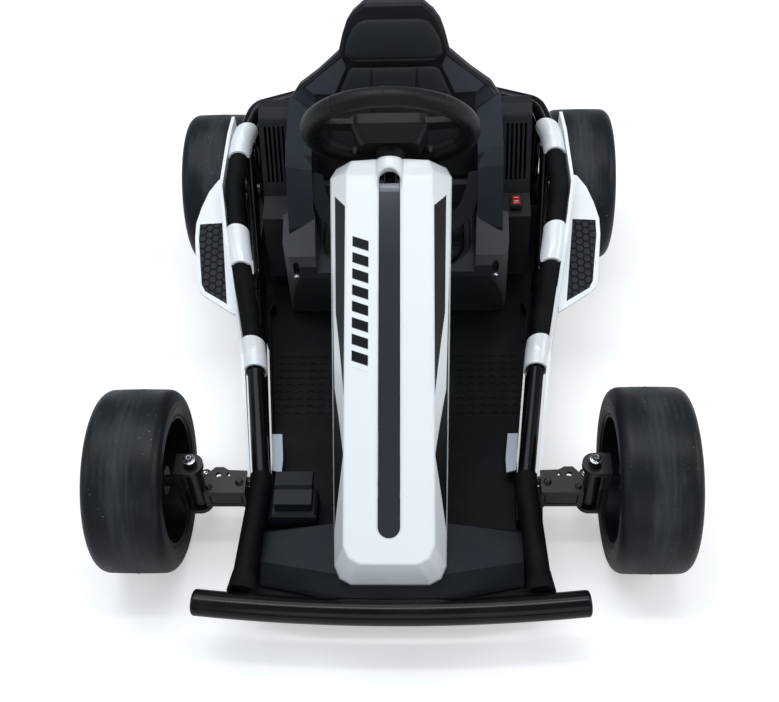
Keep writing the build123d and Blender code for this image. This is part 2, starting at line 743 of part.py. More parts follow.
with BuildPart() as seat_room:
    extrude(side_face(-base_half - 1, base_profile, fit_gap), amount=2 * base_half + 2)
with BuildPart() as seat_base:
    flare_half = base_half + base_flare
    extrude(side_face(-flare_half, base_profile), amount=2 * flare_half)
    with BuildSketch(Plane.XY.offset(base_low)) as base_plan:
        with BuildLine():
            plan = [
                (flare_half, base_front), (flare_half, base_flare_end), (base_half, base_flare_end + 4),
                (base_half, 578),
            ]
            corners = plan + [(-x, behind) for x, behind in reversed(plan)]
            Polyline(*[(x, axle_y + behind) for x, behind in corners], close=True)
        make_face()
        fillet(base_plan.vertices().group_by(Axis.Y)[0], base_round)
    extrude(amount=250, mode=Mode.INTERSECT)
    with BuildSketch(Plane.XZ.offset(-axle_y - dish_back)):
        with BuildLine():
            Polyline(
                (saddle_half, saddle_z), (saddle_half + 7, saddle_z + 80), (-saddle_half - 7, saddle_z + 80),
                (-saddle_half, saddle_z), close=True,
            )
        make_face()
    extrude(amount=dish_back - base_front + 10, mode=Mode.SUBTRACT)
    with BuildSketch(Plane.XY.offset(dish_z)) as dish:
        with Locations((0, axle_y + dish_front)):
            Rectangle(2 * dish_half, dish_back - dish_front, align=(Align.CENTER, Align.MIN))
        fillet(dish.vertices().group_by(Axis.Y)[0], dish_round)
    extrude(amount=saddle_z - dish_z + 1, taper=-12, mode=Mode.SUBTRACT)
    cavity_top = dish_z - base_wall
    cavity = [(base_front + 26, base_low), (base_front + 12, cavity_top), (555, cavity_top), (570, base_low)]
    cavity_face = side_face(base_wall - base_half, cavity)
    extrude(cavity_face, amount=2 * (base_half - base_wall), mode=Mode.SUBTRACT)
    with BuildSketch(Plane.XZ.offset(-axle_y - base_front)):
        with Locations((11 - base_half, 184), (base_half - 11, 184)):
            SlotCenterToCenter(14, 10, rotation=90)
    extrude(amount=16, both=True, mode=Mode.SUBTRACT)
seat_base.part.label = "seat_base"
export_step(seat_base.part, "parts/seat_base.step")

# Battery: a plain block inside the base
with BuildPart() as battery_pack:
    with Locations((0, axle_y + 440, base_low)):
        Box(180, 90, 88, align=(Align.CENTER, Align.CENTER, Align.MIN))
battery_pack.part.label = "battery_pack"
export_step(battery_pack.part, "parts/battery_pack.step")

# Seat shell: a raked back with a headrest, and side bolsters
seat_lean = 21
back_plane = Plane(
    origin=(0, axle_y + 527, 240),
    x_dir=(1, 0, 0),
    z_dir=(0, -math.cos(math.radians(seat_lean)), math.sin(math.radians(seat_lean))),
)
shoulder_half = base_half - 15
back_outline = [
    (base_half - 46, -18), (base_half - 16, 20), (base_half, 86), (base_half - 2, 116),
    (shoulder_half, 135), (shoulder_half - 31, 157), (86, 186), (79, 213), (72, 232), (62, 246), (45, 260),
]
back_thick = 34
back_bevel = 5
bolster_outer = [(382, 190), (446, 314), (468, 334), (572, 354), (586, 330), (554, 222), (520, 212)]
bolster_inner = [(394, 190), (458, 296), (478, 314), (556, 332), (562, 316), (540, 224), (520, 212)]
bolster_thick = 38
with BuildPart() as seat_shell:
    with BuildSketch(back_plane) as back_form:
        with BuildLine():
            Polyline(*back_outline, *[(-x, y) for x, y in reversed(back_outline)], close=True)
        make_face()
    extrude(back_form.sketch, amount=-back_thick)
    back_faces = seat_shell.faces().filter_by(GeomType.PLANE).sort_by(SortBy.AREA)[-2:]
    chamfer(back_faces.edges(), back_bevel)
    for side, sign in SIDES:
        forms = []
        for x, profile in ((base_half, bolster_outer), (base_half - bolster_thick, bolster_inner)):
            with BuildSketch(Plane.YZ.offset(sign * x)) as bolster:
                with BuildLine():
                    Polyline(*[(axle_y + behind, z) for behind, z in profile], close=True)
                make_face()
            forms.append(bolster.sketch)
        loft(sections=forms, ruled=True)
    add(seat_room.part, mode=Mode.SUBTRACT)
seat_shell.part.label = "seat_shell"
export_step(seat_shell.part, "parts/seat_shell.step")

# Pads: cushion, back pad and headrest pad, and the raised bands beside them
inside_half = base_half - bolster_thick - fit_gap
cushion_inset = 7
with BuildPart() as seat_cushion:
    with BuildSketch(Plane.XY.offset(dish_z + fit_gap)) as cushion:
        with Locations((0, axle_y + dish_front + cushion_inset)):
            Rectangle(
                2 * (dish_half - cushion_inset), dish_back - dish_front - 2 * cushion_inset,
                align=(Align.CENTER, Align.MIN),
            )
        fillet(cushion.vertices().group_by(Axis.Y)[0], dish_round - cushion_inset)
    extrude(amount=16)
    chamfer(seat_cushion.faces().sort_by(Axis.Z)[-1].edges(), 4)
seat_cushion.part.label = "seat_cushion"
export_step(seat_cushion.part, "parts/seat_cushion.step")

PADS = [
    ("back_pad", 13, [(inside_half - 22, 22), (inside_half - 24, 80), (88, 122), (70, 165)]),
    ("headrest_pad", 11, [(59, 171), (75, 184), (72, 205), (63, 222), (56, 232), (46, 237)]),
]
for name, thick, half_outline in PADS:
    with BuildPart() as pad:
        with BuildSketch(back_plane.offset(fit_gap)):
            with BuildLine():
                Polyline(*half_outline, *[(-x, y) for x, y in reversed(half_outline)], close=True)
            make_face()
        extrude(amount=thick)
    pad.part.label = name
    export_step(pad.part, "parts/" + name + ".step")

band_outline = [(80, 180), (shoulder_half - 12, 135), (shoulder_half - 24, 125), (94, 124), (74, 166)]
with BuildPart() as seat_bands:
    for side, sign in SIDES:
        with BuildSketch(back_plane.offset(fit_gap)) as band:
            with BuildLine():
                Polyline(*[(sign * x, y) for x, y in band_outline], close=True)
            make_face()
        extrude(band.sketch, amount=6)
seat_bands.part.label = "seat_bands"
export_step(seat_bands.part, "parts/seat_bands.step")

# Rear shrouds: hollow housings beside the seat with upright slots
shroud_inner = base_half + fit_gap
shroud_outer = base_half + 47
shroud_profile = [
    (432, 90), (440, 212), (484, 222), (530, 338), (548, 350), (572, 346), (588, 326), (588, 202), (556, 176),
    (556, 90),
]
for side, sign in SIDES:
    with BuildPart() as rear_shroud:
        with BuildSketch(Plane.YZ.offset(min(sign * shroud_inner, sign * shroud_outer))) as shroud_form:
            with BuildLine():
                Polyline(*[(axle_y + behind, z) for behind, z in shroud_profile], close=True)
            make_face()
            fillet(shroud_form.vertices().sort_by(Axis.Y)[-4:], 12)
        extrude(amount=shroud_outer - shroud_inner)
        shroud_bottom = rear_shroud.faces().sort_by(Axis.Z)[0]
        offset(amount=-3, openings=shroud_bottom)
        with BuildSketch(Plane.XZ.offset(-axle_y - 440)):
            with Locations((sign * (shroud_inner + shroud_outer) / 2, 285)):
                with GridLocations(7, 1, 5, 1):
                    Rectangle(3.5, 86)
        extrude(amount=-90, mode=Mode.SUBTRACT)
    rear_shroud.part.label = "rear_shroud_" + side
    export_step(rear_shroud.part, "parts/rear_shroud_" + side + ".step")

# Power switch on the left shroud's ledge
with BuildPart() as power_switch:
    with Locations((shroud_outer - 23, axle_y + 462, 217 + 6.6)):
        Box(18, 26, 6)
power_switch.part.label = "power_switch"
export_step(power_switch.part, "parts/power_switch.step")

# Accelerator: a base on the floor and a stepped pad
pedal_x = -137
pedal_floor = floor_z + floor_wall + fit_gap
pedal_base_top = pedal_floor + 36
with BuildPart() as pedal_base:
    with Locations((pedal_x, axle_y - 22, pedal_floor)):
        Box(64, 46, pedal_base_top - pedal_floor, align=(Align.CENTER, Align.CENTER, Align.MIN))
    chamfer(pedal_base.faces().sort_by(Axis.Z)[-1].edges(), 3)
pedal_base.part.label = "pedal_base"
export_step(pedal_base.part, "parts/pedal_base.step")

pedal_low = pedal_base_top + fit_gap
with BuildPart() as accelerator_pedal:
    with BuildSketch(Plane.YZ.offset(pedal_x - 26)):
        with BuildLine():
            Polyline(
                (axle_y - 36, pedal_low), (axle_y - 4, pedal_low), (axle_y + 18, pedal_low + 12),
                (axle_y + 14, pedal_low + 22), (axle_y - 10, pedal_low + 24), (axle_y - 13, pedal_low + 18),
                (axle_y - 36, pedal_low + 16), close=True,
            )
        make_face()
    extrude(amount=52)
accelerator_pedal.part.label = "accelerator_pedal"
export_step(accelerator_pedal.part, "parts/accelerator_pedal.step")

# Rear axle and its gearbox housings
axle_radius = 8
hub_half = 34
with BuildPart() as rear_axle:
    with Locations((0, rear_y, wheel_radius)):
        Cylinder(axle_radius, rear_track + 2 * hub_half, rotation=(0, 90, 0))
rear_axle.part.label = "rear_axle"
export_step(rear_axle.part, "parts/rear_axle.step")

gearbox_inner = 172
gearbox_outer = 208
motor_radius = 22
motor_length = 62
for side, sign in SIDES:
    with BuildPart() as gearbox:
        with BuildSketch(Plane.YZ.offset(min(sign * gearbox_inner, sign * gearbox_outer))):
            with BuildLine():
                Polyline(
                    (rear_y - 44, 100), (rear_y - 44, 150), (rear_y - 20, 180), (rear_y + 20, 180),
                    (rear_y + 48, 150), (rear_y + 48, 104), (rear_y + 20, 76), (rear_y - 20, 76), close=True,
                )
            make_face()
            with Locations((rear_y, wheel_radius)):
                Circle(axle_radius + fit_gap, mode=Mode.SUBTRACT)
        extrude(amount=gearbox_outer - gearbox_inner)
        with Locations((sign * (gearbox_inner - motor_length / 2), rear_y + 14, wheel_radius + 30)):
            Cylinder(motor_radius, motor_length, rotation=(0, 90, 0))
    gearbox.part.label = "gearbox_" + side
    export_step(gearbox.part, "parts/gearbox_" + side + ".step")

# Wheels: smooth tyres on dished rims with a bored hub
tyre_wall = 36
tyre_bore = wheel_radius - tyre_wall
shoulder = tyre_wall / 2.25
hub_radius = 20
hub_bore = axle_radius + fit_gap
rim_wall = 5
wheel_places = [
    ("front_left", front_track / 2, axle_y),
    ("front_right", -front_track / 2, axle_y),
    ("rear_left", rear_track / 2, rear_y),
    ("rear_right", -rear_track / 2, rear_y),
]
for name, x, y in wheel_places:
    hand = 1 if x > 0 else -1
    half = tyre_width / 2
    centre = Plane(origin=(x, y, wheel_radius), x_dir=(hand, 0, 0), z_dir=(0, -hand, 0))
    spin = Axis((x, y, wheel_radius), (1, 0, 0))
    with BuildPart() as tyre:
        with BuildSketch(centre) as tyre_section:
            with BuildLine():
                Polyline(
                    (-half + 3, tyre_bore), (-half, tyre_bore + 6), (-half, wheel_radius),
                    (half, wheel_radius), (half, tyre_bore + 6), (half - 3, tyre_bore), close=True,
                )
            make_face()
            fillet(tyre_section.vertices().group_by(Axis.Y)[-1], shoulder)
        revolve(axis=spin)
    tyre.part.label = "tyre_" + name
    export_step(tyre.part, "parts/tyre_" + name + ".step")

    with BuildPart() as rim:
        with BuildSketch(centre):
            with BuildLine():
                top = tyre_bore - fit_gap
                Polyline(
                    (-half + 4, top), (half - 4, top), (half - 4, top - rim_wall), (14, top - rim_wall - 4),
                    (10, tyre_bore - 32), (10, hub_radius + 4), (hub_half - 4, hub_radius), (hub_half - 4, hub_bore),
                    (-hub_half, hub_bore), (-hub_half, hub_radius), (4, hub_radius + 4), (4, tyre_bore - 32),
                    (6, top - rim_wall - 4), (-half + 4, top - rim_wall), close=True,
                )
            make_face()
        revolve(axis=spin)
        with BuildSketch(Plane(origin=(x, y, wheel_radius), x_dir=(0, 1, 0), z_dir=(1, 0, 0))):
            with PolarLocations((hub_radius + tyre_bore - 26) / 2, 5):
                RectangleRounded(26, 26, 7)
        extrude(amount=20, both=True, mode=Mode.SUBTRACT)
    rim.part.label = "rim_" + name
    export_step(rim.part, "parts/rim_" + name + ".step")
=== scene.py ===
import math

import bmesh
import bpy
import numpy as np
from mathutils import Matrix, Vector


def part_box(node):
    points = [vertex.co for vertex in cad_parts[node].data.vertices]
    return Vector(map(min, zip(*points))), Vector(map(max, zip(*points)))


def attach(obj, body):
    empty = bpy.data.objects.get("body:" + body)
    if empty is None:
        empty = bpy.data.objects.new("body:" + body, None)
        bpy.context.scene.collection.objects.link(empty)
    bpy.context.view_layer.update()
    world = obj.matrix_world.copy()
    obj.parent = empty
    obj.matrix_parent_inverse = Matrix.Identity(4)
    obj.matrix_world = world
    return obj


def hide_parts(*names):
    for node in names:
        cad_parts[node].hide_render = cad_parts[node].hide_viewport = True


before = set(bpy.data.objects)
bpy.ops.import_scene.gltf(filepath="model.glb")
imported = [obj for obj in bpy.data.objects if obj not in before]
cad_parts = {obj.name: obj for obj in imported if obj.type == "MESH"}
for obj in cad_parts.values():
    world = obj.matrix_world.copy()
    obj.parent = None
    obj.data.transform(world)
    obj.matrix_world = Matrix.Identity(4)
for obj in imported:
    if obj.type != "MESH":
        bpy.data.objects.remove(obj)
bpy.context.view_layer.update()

# The camera. It is held in a grown person's hands in front of the kart and looks down
# on it at about fifty degrees. Its place is in metres, and its lens in picture pixels.
PHOTO_WIDTH = 779
LENS_PIXELS = 1094.5
CAMERA_PLACE = (0.0616, -1.1095, 1.400)
YAW, PITCH, ROLL = -0.0654, 0.8672, -0.0565


def camera_turn(yaw, pitch, roll):
    """Rotation whose columns are the camera's right, up and backward directions."""
    level = np.array([math.sin(yaw), math.cos(yaw), 0.0])
    forward = level * math.cos(pitch) - np.array([0.0, 0.0, math.sin(pitch)])
    right = np.array([math.cos(yaw), -math.sin(yaw), 0.0])
    up = np.cross(right, forward)
    rolled_right = right * math.cos(roll) + up * math.sin(roll)
    rolled_up = up * math.cos(roll) - right * math.sin(roll)
    return np.stack([rolled_right, rolled_up, -forward], axis=1)


camera_data = bpy.data.cameras.new("viewer")
camera_data.lens = LENS_PIXELS * camera_data.sensor_width / PHOTO_WIDTH
camera = bpy.data.objects.new("viewer", camera_data)
camera.matrix_world = Matrix.Translation(CAMERA_PLACE) @ Matrix(camera_turn(YAW, PITCH, ROLL)).to_4x4()
bpy.context.scene.collection.objects.link(camera)
bpy.context.scene.camera = camera
bpy.context.scene.view_settings.view_transform = "Standard"


# The studio. A white floor and an even pale sky give the soft grey shadow of a cut-out
# product picture. A broad and a narrow lamp overhead and three windows give the gloss.
class Wire:
    """A socket in a material's node tree. Arithmetic on wires adds Math nodes."""

    def __init__(self, tree, socket):
        self.tree = tree
        self.socket = socket

    def node(self, kind, settings, sockets, give=0):
        """Add a node: its settings first, then its sockets' values or links; give one output."""
        made = self.tree.nodes.new(kind)
        for name, value in settings.items():
            if name == "stops":
                ramp = made.color_ramp
                while len(ramp.elements) < len(value):
                    ramp.elements.new(1.0)
                for element, (place, shade) in zip(ramp.elements, value):
                    element.position = place
                    element.color = (shade, shade, shade, 1.0)
            else:
                setattr(made, name, value)
        for name, value in sockets.items():
            if isinstance(value, Wire):
                self.tree.links.new(value.socket, made.inputs[name])
            else:
                made.inputs[name].default_value = value
        return Wire(self.tree, made.outputs[give])

    def maths(self, operation, *others):
        """A Math node on this wire and any others."""
        return self.node("ShaderNodeMath", {"operation": operation}, dict(enumerate((self, *others))))

    def __add__(self, other):
        return self.maths("ADD", other)

    def __sub__(self, other):
        return self.maths("SUBTRACT", other)

    def __rsub__(self, other):
        return self.node("ShaderNodeMath", {"operation": "SUBTRACT"}, {0: other, 1: self})

    def __mul__(self, other):
        return self.maths("MULTIPLY", other)

    def __truediv__(self, other):
        return self.maths("DIVIDE", other)

    def __abs__(self):
        return self.maths("ABSOLUTE")

    def above(self, edge, soft):
        """Mask that rises from 0 to 1 where this wire passes the edge, over a soft step."""
        return self.node("ShaderNodeMapRange", {}, {0: self - edge, 1: -soft, 2: soft})

    def ramp(self, stops):
        """This wire put through straight runs between (place, value) stops, all within 0 and 1."""
        return self.node("ShaderNodeValToRGB", {"stops": stops}, {0: self})

    def axes(self):
        """The x, y and z of a place, as three wires."""
        parts = self.node("ShaderNodeSeparateXYZ", {}, {0: self})
        return [Wire(self.tree, output) for output in parts.socket.node.outputs]

    def noise(self, scale, detail=2.0):
        """Noise from 0 to 1 over a place."""
        return self.node("ShaderNodeTexNoise", {}, {"Vector": self, "Scale": scale, "Detail": detail})

    def blend(self, first, second):
        """Colour mixed from the first to the second by this wire, from 0 to 1."""
        return self.node("ShaderNodeMix", {"data_type": "RGBA"}, {0: self, 6: first, 7: second}, 2)

    def bump(self, strength, distance):
        """Normal tilted by this wire, taken as a height over a distance in metres."""
        return self.node("ShaderNodeBump", {}, {"Height": self, "Strength": strength, "Distance": distance})

    def principled(self, sockets):
        """The usual surface shader, given its sockets by name."""
        return self.node("ShaderNodeBsdfPrincipled", {}, sockets)

    def end(self, kind="ShaderNodeOutputMaterial"):
        """Link this shader to the tree's output."""
        self.tree.links.new(self.socket, self.tree.nodes.new(kind).inputs["Surface"])


def empty_tree(owner):
    """Clear the node tree of a material or a world, and give a wire to start from."""
    owner.use_nodes = True
    owner.node_tree.nodes.clear()
    return Wire(owner.node_tree, None)


def blank_material(name):
    """A material with an empty tree, given with a wire to start from."""
    material = bpy.data.materials.new(name)
    return material, empty_tree(material)


def grid_faces(rows, columns, along, around):
    """Quads between neighbours of a grid, closed over its rows or columns where asked."""
    row_starts = np.arange(rows if along else rows - 1)
    column_starts = np.arange(columns if around else columns - 1)
    r, c = (index.ravel() for index in np.meshgrid(row_starts, column_starts, indexing="ij"))
    here, below = r * columns, (r + 1) % rows * columns
    right = (c + 1) % columns
    return np.stack([here + c, here + right, below + right, below + c], axis=1)


def grids_mesh(name, grids, along=False, around=True, smooth=True):
    """One mesh over several grids of points in metres, each of shape (rows, columns, 3)."""
    points, faces, start = [], [], 0
    for grid in grids:
        rows, columns = grid.shape[:2]
        points.append(grid.reshape(-1, 3))
        faces.append(grid_faces(rows, columns, along, around) + start)
        start += rows * columns
    mesh = bpy.data.meshes.new(name)
    mesh.from_pydata(np.concatenate(points).tolist(), [], np.concatenate(faces).tolist())
    mesh.polygons.foreach_set("use_smooth", [smooth] * len(mesh.polygons))
    return mesh


def place_piece(name, mesh, material, body):
    """Put a finished mesh on its body, with its material."""
    piece = bpy.data.objects.new(name, mesh)
    bpy.context.scene.collection.objects.link(piece)
    mesh.materials.append(material)
    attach(piece, body)
    return piece


floor_paint, wire = blank_material("white_studio_floor")
rays = wire.node("ShaderNodeLightPath", {}, {}, "Is Camera Ray")
lit = wire.node("ShaderNodeBsdfDiffuse", {}, {"Color": (0.80, 0.80, 0.80, 1)})
glow = wire.node("ShaderNodeEmission", {}, {"Color": (1.0, 1.0, 1.0, 1), "Strength": 0.40})
both = wire.node("ShaderNodeAddShader", {}, {0: lit, 1: glow})
wire.node("ShaderNodeMixShader", {}, {0: rays, 1: lit, 2: both}).end()
FLOOR_REACH = 9.0
floor_corners = np.array([[[-1, -1, 0], [1, -1, 0]], [[-1, 1, 0], [1, 1, 0]]], float) * FLOOR_REACH
floor_mesh = grids_mesh("studio_floor", [floor_corners], around=False)
floor_mesh.materials.append(floor_paint)
studio_floor = bpy.data.objects.new("studio_floor", floor_mesh)
bpy.context.scene.collection.objects.link(studio_floor)

world = bpy.data.worlds.new("pale_sky")
bpy.context.scene.world = world
sky = empty_tree(world)
sky_light = sky.node("ShaderNodeBackground", {}, {"Color": (0.80, 0.88, 1.0, 1), "Strength": 0.36})
sky_seen = sky.node("ShaderNodeBackground", {}, {"Color": (1, 1, 1, 1), "Strength": 1.0})
camera_rays = sky.node("ShaderNodeLightPath", {}, {}, "Is Camera Ray")
both_skies = sky.node("ShaderNodeMixShader", {}, {0: camera_rays, 1: sky_light, 2: sky_seen})
both_skies.end("ShaderNodeOutputWorld")


def soft_lamp(name, place, aim, size, power, colour):
    """A rectangular area lamp at a place in metres, turned towards a point."""
    data = bpy.data.lights.new(name, "AREA")
    data.shape = "RECTANGLE"
    data.size, data.size_y = size
    data.energy = power
    data.color = colour
    lamp = bpy.data.objects.new(name, data)
    away = np.array(place, float) - np.array(aim, float)
    away /= np.linalg.norm(away)
    side = np.cross((0.0, 1.0, 0.0), away)
    side /= np.linalg.norm(side)
    turn = np.stack([side, np.cross(away, side), away], axis=1)
    lamp.matrix_world = Matrix.Translation(place) @ Matrix(turn).to_4x4()
    bpy.context.scene.collection.objects.link(lamp)


soft_lamp("overhead", (-0.5, 0.7, 3.2), (0, 0, 0.2), (3.0, 2.4), 52, (0.92, 0.96, 1.0))
soft_lamp("overhead_strip", (0.1, -0.1, 2.6), (0, -0.2, 0.1), (2.2, 0.16), 12, (0.97, 0.98, 1.0))
soft_lamp("front_window", (0.2, -3.0, 1.5), (0, -0.2, 0.2), (2.6, 1.6), 14, (0.94, 0.97, 1.0))
soft_lamp("left_window", (-2.6, -0.6, 1.9), (0, 0, 0.3), (1.6, 2.0), 13, (0.95, 0.97, 1.0))
soft_lamp("right_window", (2.6, -0.2, 1.7), (0, 0, 0.3), (1.4, 2.0), 25, (1.0, 0.99, 0.97))


# Frame tubes: one bent steel hoop with its lower rails, stays and legs, and the
# bumper tube across the front. All are welded, then sprayed in one gloss black
# that flows a little unevenly and shows the room as soft streaks.
MM = 0.001
AXLE = -266.75  # y of the front axle in mm; places behind it count from here
SIDES = (("left", 1), ("right", -1))


def placed_material(name):
    """A blank material, given with a wire to start from and with the place in metres."""
    material, wire = blank_material(name)
    return material, wire, wire.node("ShaderNodeTexCoord", {}, {}, "Object")


def clouded(place, scale, dark, light):
    """A broad cloud, and a colour that drifts between two tones with it."""
    cloud = place.noise(scale, 4.0)
    return cloud, cloud.blend((*dark, 1), (*light, 1))


def finish_material(
    name, colour, rough, specular=0.5, coat=0.0, metal=0.0, grain=(0.0, 600), drift=0.05, dust=0.0
):
    """Principled finish: tone and roughness drift with a broad cloud, pale dust gathers in patches
    where a second cloud is high, and a fine noise of a (strength, scale) gives the surface its grain."""
    material, wire, place = placed_material(name)
    dark = [value * 0.84 for value in colour]
    light = [min(1.0, value * 1.14) for value in colour]
    cloud, tone = clouded(place, 9.0, dark, light)
    patches = place.noise(21.0, 6.0).above(0.60, 0.12)
    dust_rough = 0.1 * (dust > 0)
    strength, scale = grain
    wire.principled(
        {
            "Base Color": (patches * dust).blend(tone, (0.20, 0.20, 0.19, 1)),
            "Roughness": cloud * (2 * drift) + patches * dust_rough + (rough - drift),
            "Metallic": metal,
            "Specular IOR Level": specular,
            "Coat Weight": coat,
            "Coat Roughness": 0.06,
            "Normal": place.noise(scale).bump(strength, 0.0006),
        }
    ).end()
    return material


def dress(material, *names):
    """Give a material to every slot of the named CAD nodes."""
    for name in names:
        for material_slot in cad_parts[name].material_slots:
            material_slot.material = material


def turn_frame(axis):
    """Two unit vectors square to an axis, and the axis itself."""
    axis = np.array(axis, float) / np.linalg.norm(axis)
    helper = np.array([0, 0, 1.0]) if abs(axis[2]) < 0.9 else np.array([0, 1.0, 0])
    across = np.cross(helper, axis)
    across /= np.linalg.norm(across)
    return across, np.cross(axis, across), axis


def turned(profile, place, axis, steps=24, corners=0):
    """Grid of a profile of (along, radius) rows turned about an axis. With corners, a row's third
    value draws its circle towards a polygon: radius over the cosine of the angle to the flat."""
    across, upward, along = turn_frame(axis)
    profile = np.array([tuple(row) + (0.0,) * (3 - len(row)) for row in profile], float)
    angle = np.arange(steps) * 2 * math.pi / steps
    flat = np.ones(steps)
    if corners:
        step = 2 * math.pi / corners
        flat = math.cos(step / 2) / np.cos((angle + step / 2) % step - step / 2)
    radius = profile[:, 1:2] * (1 + profile[:, 2:3] * (flat[None, :] - 1))
    grid = (
        np.array(place, float)
        + profile[:, 0, None, None] * along
        + (radius * np.cos(angle))[..., None] * across
        + (radius * np.sin(angle))[..., None] * upward
    )
    return grid * MM


gloss_black = finish_material(
    "gloss_black_paint", (0.003, 0.003, 0.004), 0.13, 0.22, grain=(0.04, 120), drift=0.04, dust=0.02
)
dress(gloss_black, "side_hoop", "front_bumper", "lower_rails", "rear_stays", "rear_legs")


# Matte sleeves and grips: thin foam-rubber tubes pushed over the rails. They are dull
# and show hardly any light.
sleeve_rubber = finish_material(
    "sleeve_rubber", (0.003, 0.003, 0.004), 0.62, 0.10, grain=(0.35, 900), drift=0.06, dust=0.03
)
dress(sleeve_rubber, "rail_sleeve_left", "rail_sleeve_right", "rail_grips")


# Floor, front pan, pedal, tunnel and sill plates: injection-moulded polypropylene with a
# fine spark-eroded grain. The pan catches the sky, and the plates are a paler blue-grey.
floor_plastic = finish_material(
    "floor_plastic", (0.004, 0.005, 0.006), 0.5, 0.11, grain=(0.5, 1300), dust=0.03
)
pan_plastic = finish_material(
    "pan_plastic", (0.009, 0.013, 0.018), 0.48, 0.22, grain=(0.4, 1300), dust=0.04
)
sill_plastic = finish_material(
    "sill_plastic", (0.42, 0.48, 0.54), 0.4, coat=0.1, grain=(0.2, 900), drift=0.04
)
dress(floor_plastic, "floor_tray", "steering_tunnel", "column_bearing")
dress(pan_plastic, "front_pan", "pedal_base", "accelerator_pedal")
dress(sill_plastic, "sill_plate_left", "sill_plate_right")


def rounded_slab(corners, thick, edge, origin, right, up):
    """Closed slab over a convex polygon: eight loops of its outline, from the middle of one face
    over both rims to the middle of the other. Each rim is bevelled twice, over the edge's width."""
    corners = np.array(corners, float)
    centre = corners.mean(axis=0)
    inset = edge / np.abs(corners - centre).max()
    drops = [(0.999, 0.0), (inset, 0.0), (inset * 0.3, edge * 0.3), (0.0, edge)]
    loops = [(drawn_in, thick - depth) for drawn_in, depth in drops]
    loops += [(drawn_in, depth) for drawn_in, depth in reversed(drops)]
    grid = []
    for drawn_in, height in loops:
        flat = centre + (corners - centre) * (1 - drawn_in)
        grid.append(origin + flat[:, 0:1] * right + flat[:, 1:2] * up + height * np.cross(right, up))
    return np.array(grid) * MM


# Floor wings and front under plate: thin dark mouldings under the floor. The wings reach
# out under the lower rails beside the seat, and the plate closes the gap to the bumper.
X_AXIS = np.array([1.0, 0, 0])
Y_AXIS = np.array([0, 1.0, 0])
Z_AXIS = np.array([0, 0, 1.0])
WING_UNDERSIDE, PLATE_UNDERSIDE = 62.2, 60.0
wing_outline = [
    (196, 288), (208, 294), (222, 345), (233, 400), (240, 450),
    (245, 520), (245, 650), (196, 650), (152, 556), (152, 345),
]
plate_outline = [
    (-204, -130), (-190, -147), (-150, -159), (-100, -166), (100, -166),
    (150, -159), (190, -147), (204, -130), (212, -4), (-212, -4),
]
under_mouldings = []
for _, sign in SIDES:
    corners = [(sign * x, AXLE + behind) for x, behind in wing_outline][::sign]
    under_mouldings.append(rounded_slab(corners, 3.4, 1.4, Z_AXIS * WING_UNDERSIDE, X_AXIS, Y_AXIS))
corners = [(x, AXLE + behind) for x, behind in plate_outline]
under_mouldings.append(rounded_slab(corners, 3.0, 1.3, Z_AXIS * PLATE_UNDERSIDE, X_AXIS, Y_AXIS))
moulding_mesh = grids_mesh("under_mouldings", under_mouldings, smooth=False)
place_piece("under_mouldings", moulding_mesh, floor_plastic, "chassis")


# Front axle and steering gear: pressed and welded steel in satin black, with plates that
# close the beam's pockets and lie under its lobes. The zinc plated bolts are the only
# bright points low down in the picture.
chassis_black = finish_material(
    "chassis_black", (0.005, 0.005, 0.006), 0.34, 0.35, 0.1, grain=(0.25, 420), drift=0.08, dust=0.05
)
zinc = finish_material("zinc_plate", (0.62, 0.64, 0.66), 0.25, metal=1.0, grain=(0.12, 500), drift=0.08)
dress(chassis_black, "front_axle_beam", "knuckle_left", "knuckle_right", "tie_rod", "pitman_arm")


def hex_bolt(place, axis, size):
    """Flanged bolt head of a size in mm: a round flange, a six-sided head and a dished top. Its
    rows are along and radius, both as shares of the size, and how far the row is six-sided."""
    rows = [
        (0.0, 1.30), (0.22, 1.32), (0.34, 1.16), (0.36, 0.99, 1), (0.95, 0.99, 1), (1.05, 0.90, 0.6),
        (1.06, 0.55), (0.98, 0.30), (0.96, 0.02),
    ]
    return turned([(row[0] * size, row[1] * size) + row[2:] for row in rows], place, axis, 24, 6)


def washer(place, axis, radius):
    """Flat washer with a bevelled edge, open in its middle, where a bolt head covers it."""
    return turned([(0, radius), (1.2, radius), (1.6, radius * 0.94), (1.6, radius * 0.3)], place, axis, 28)


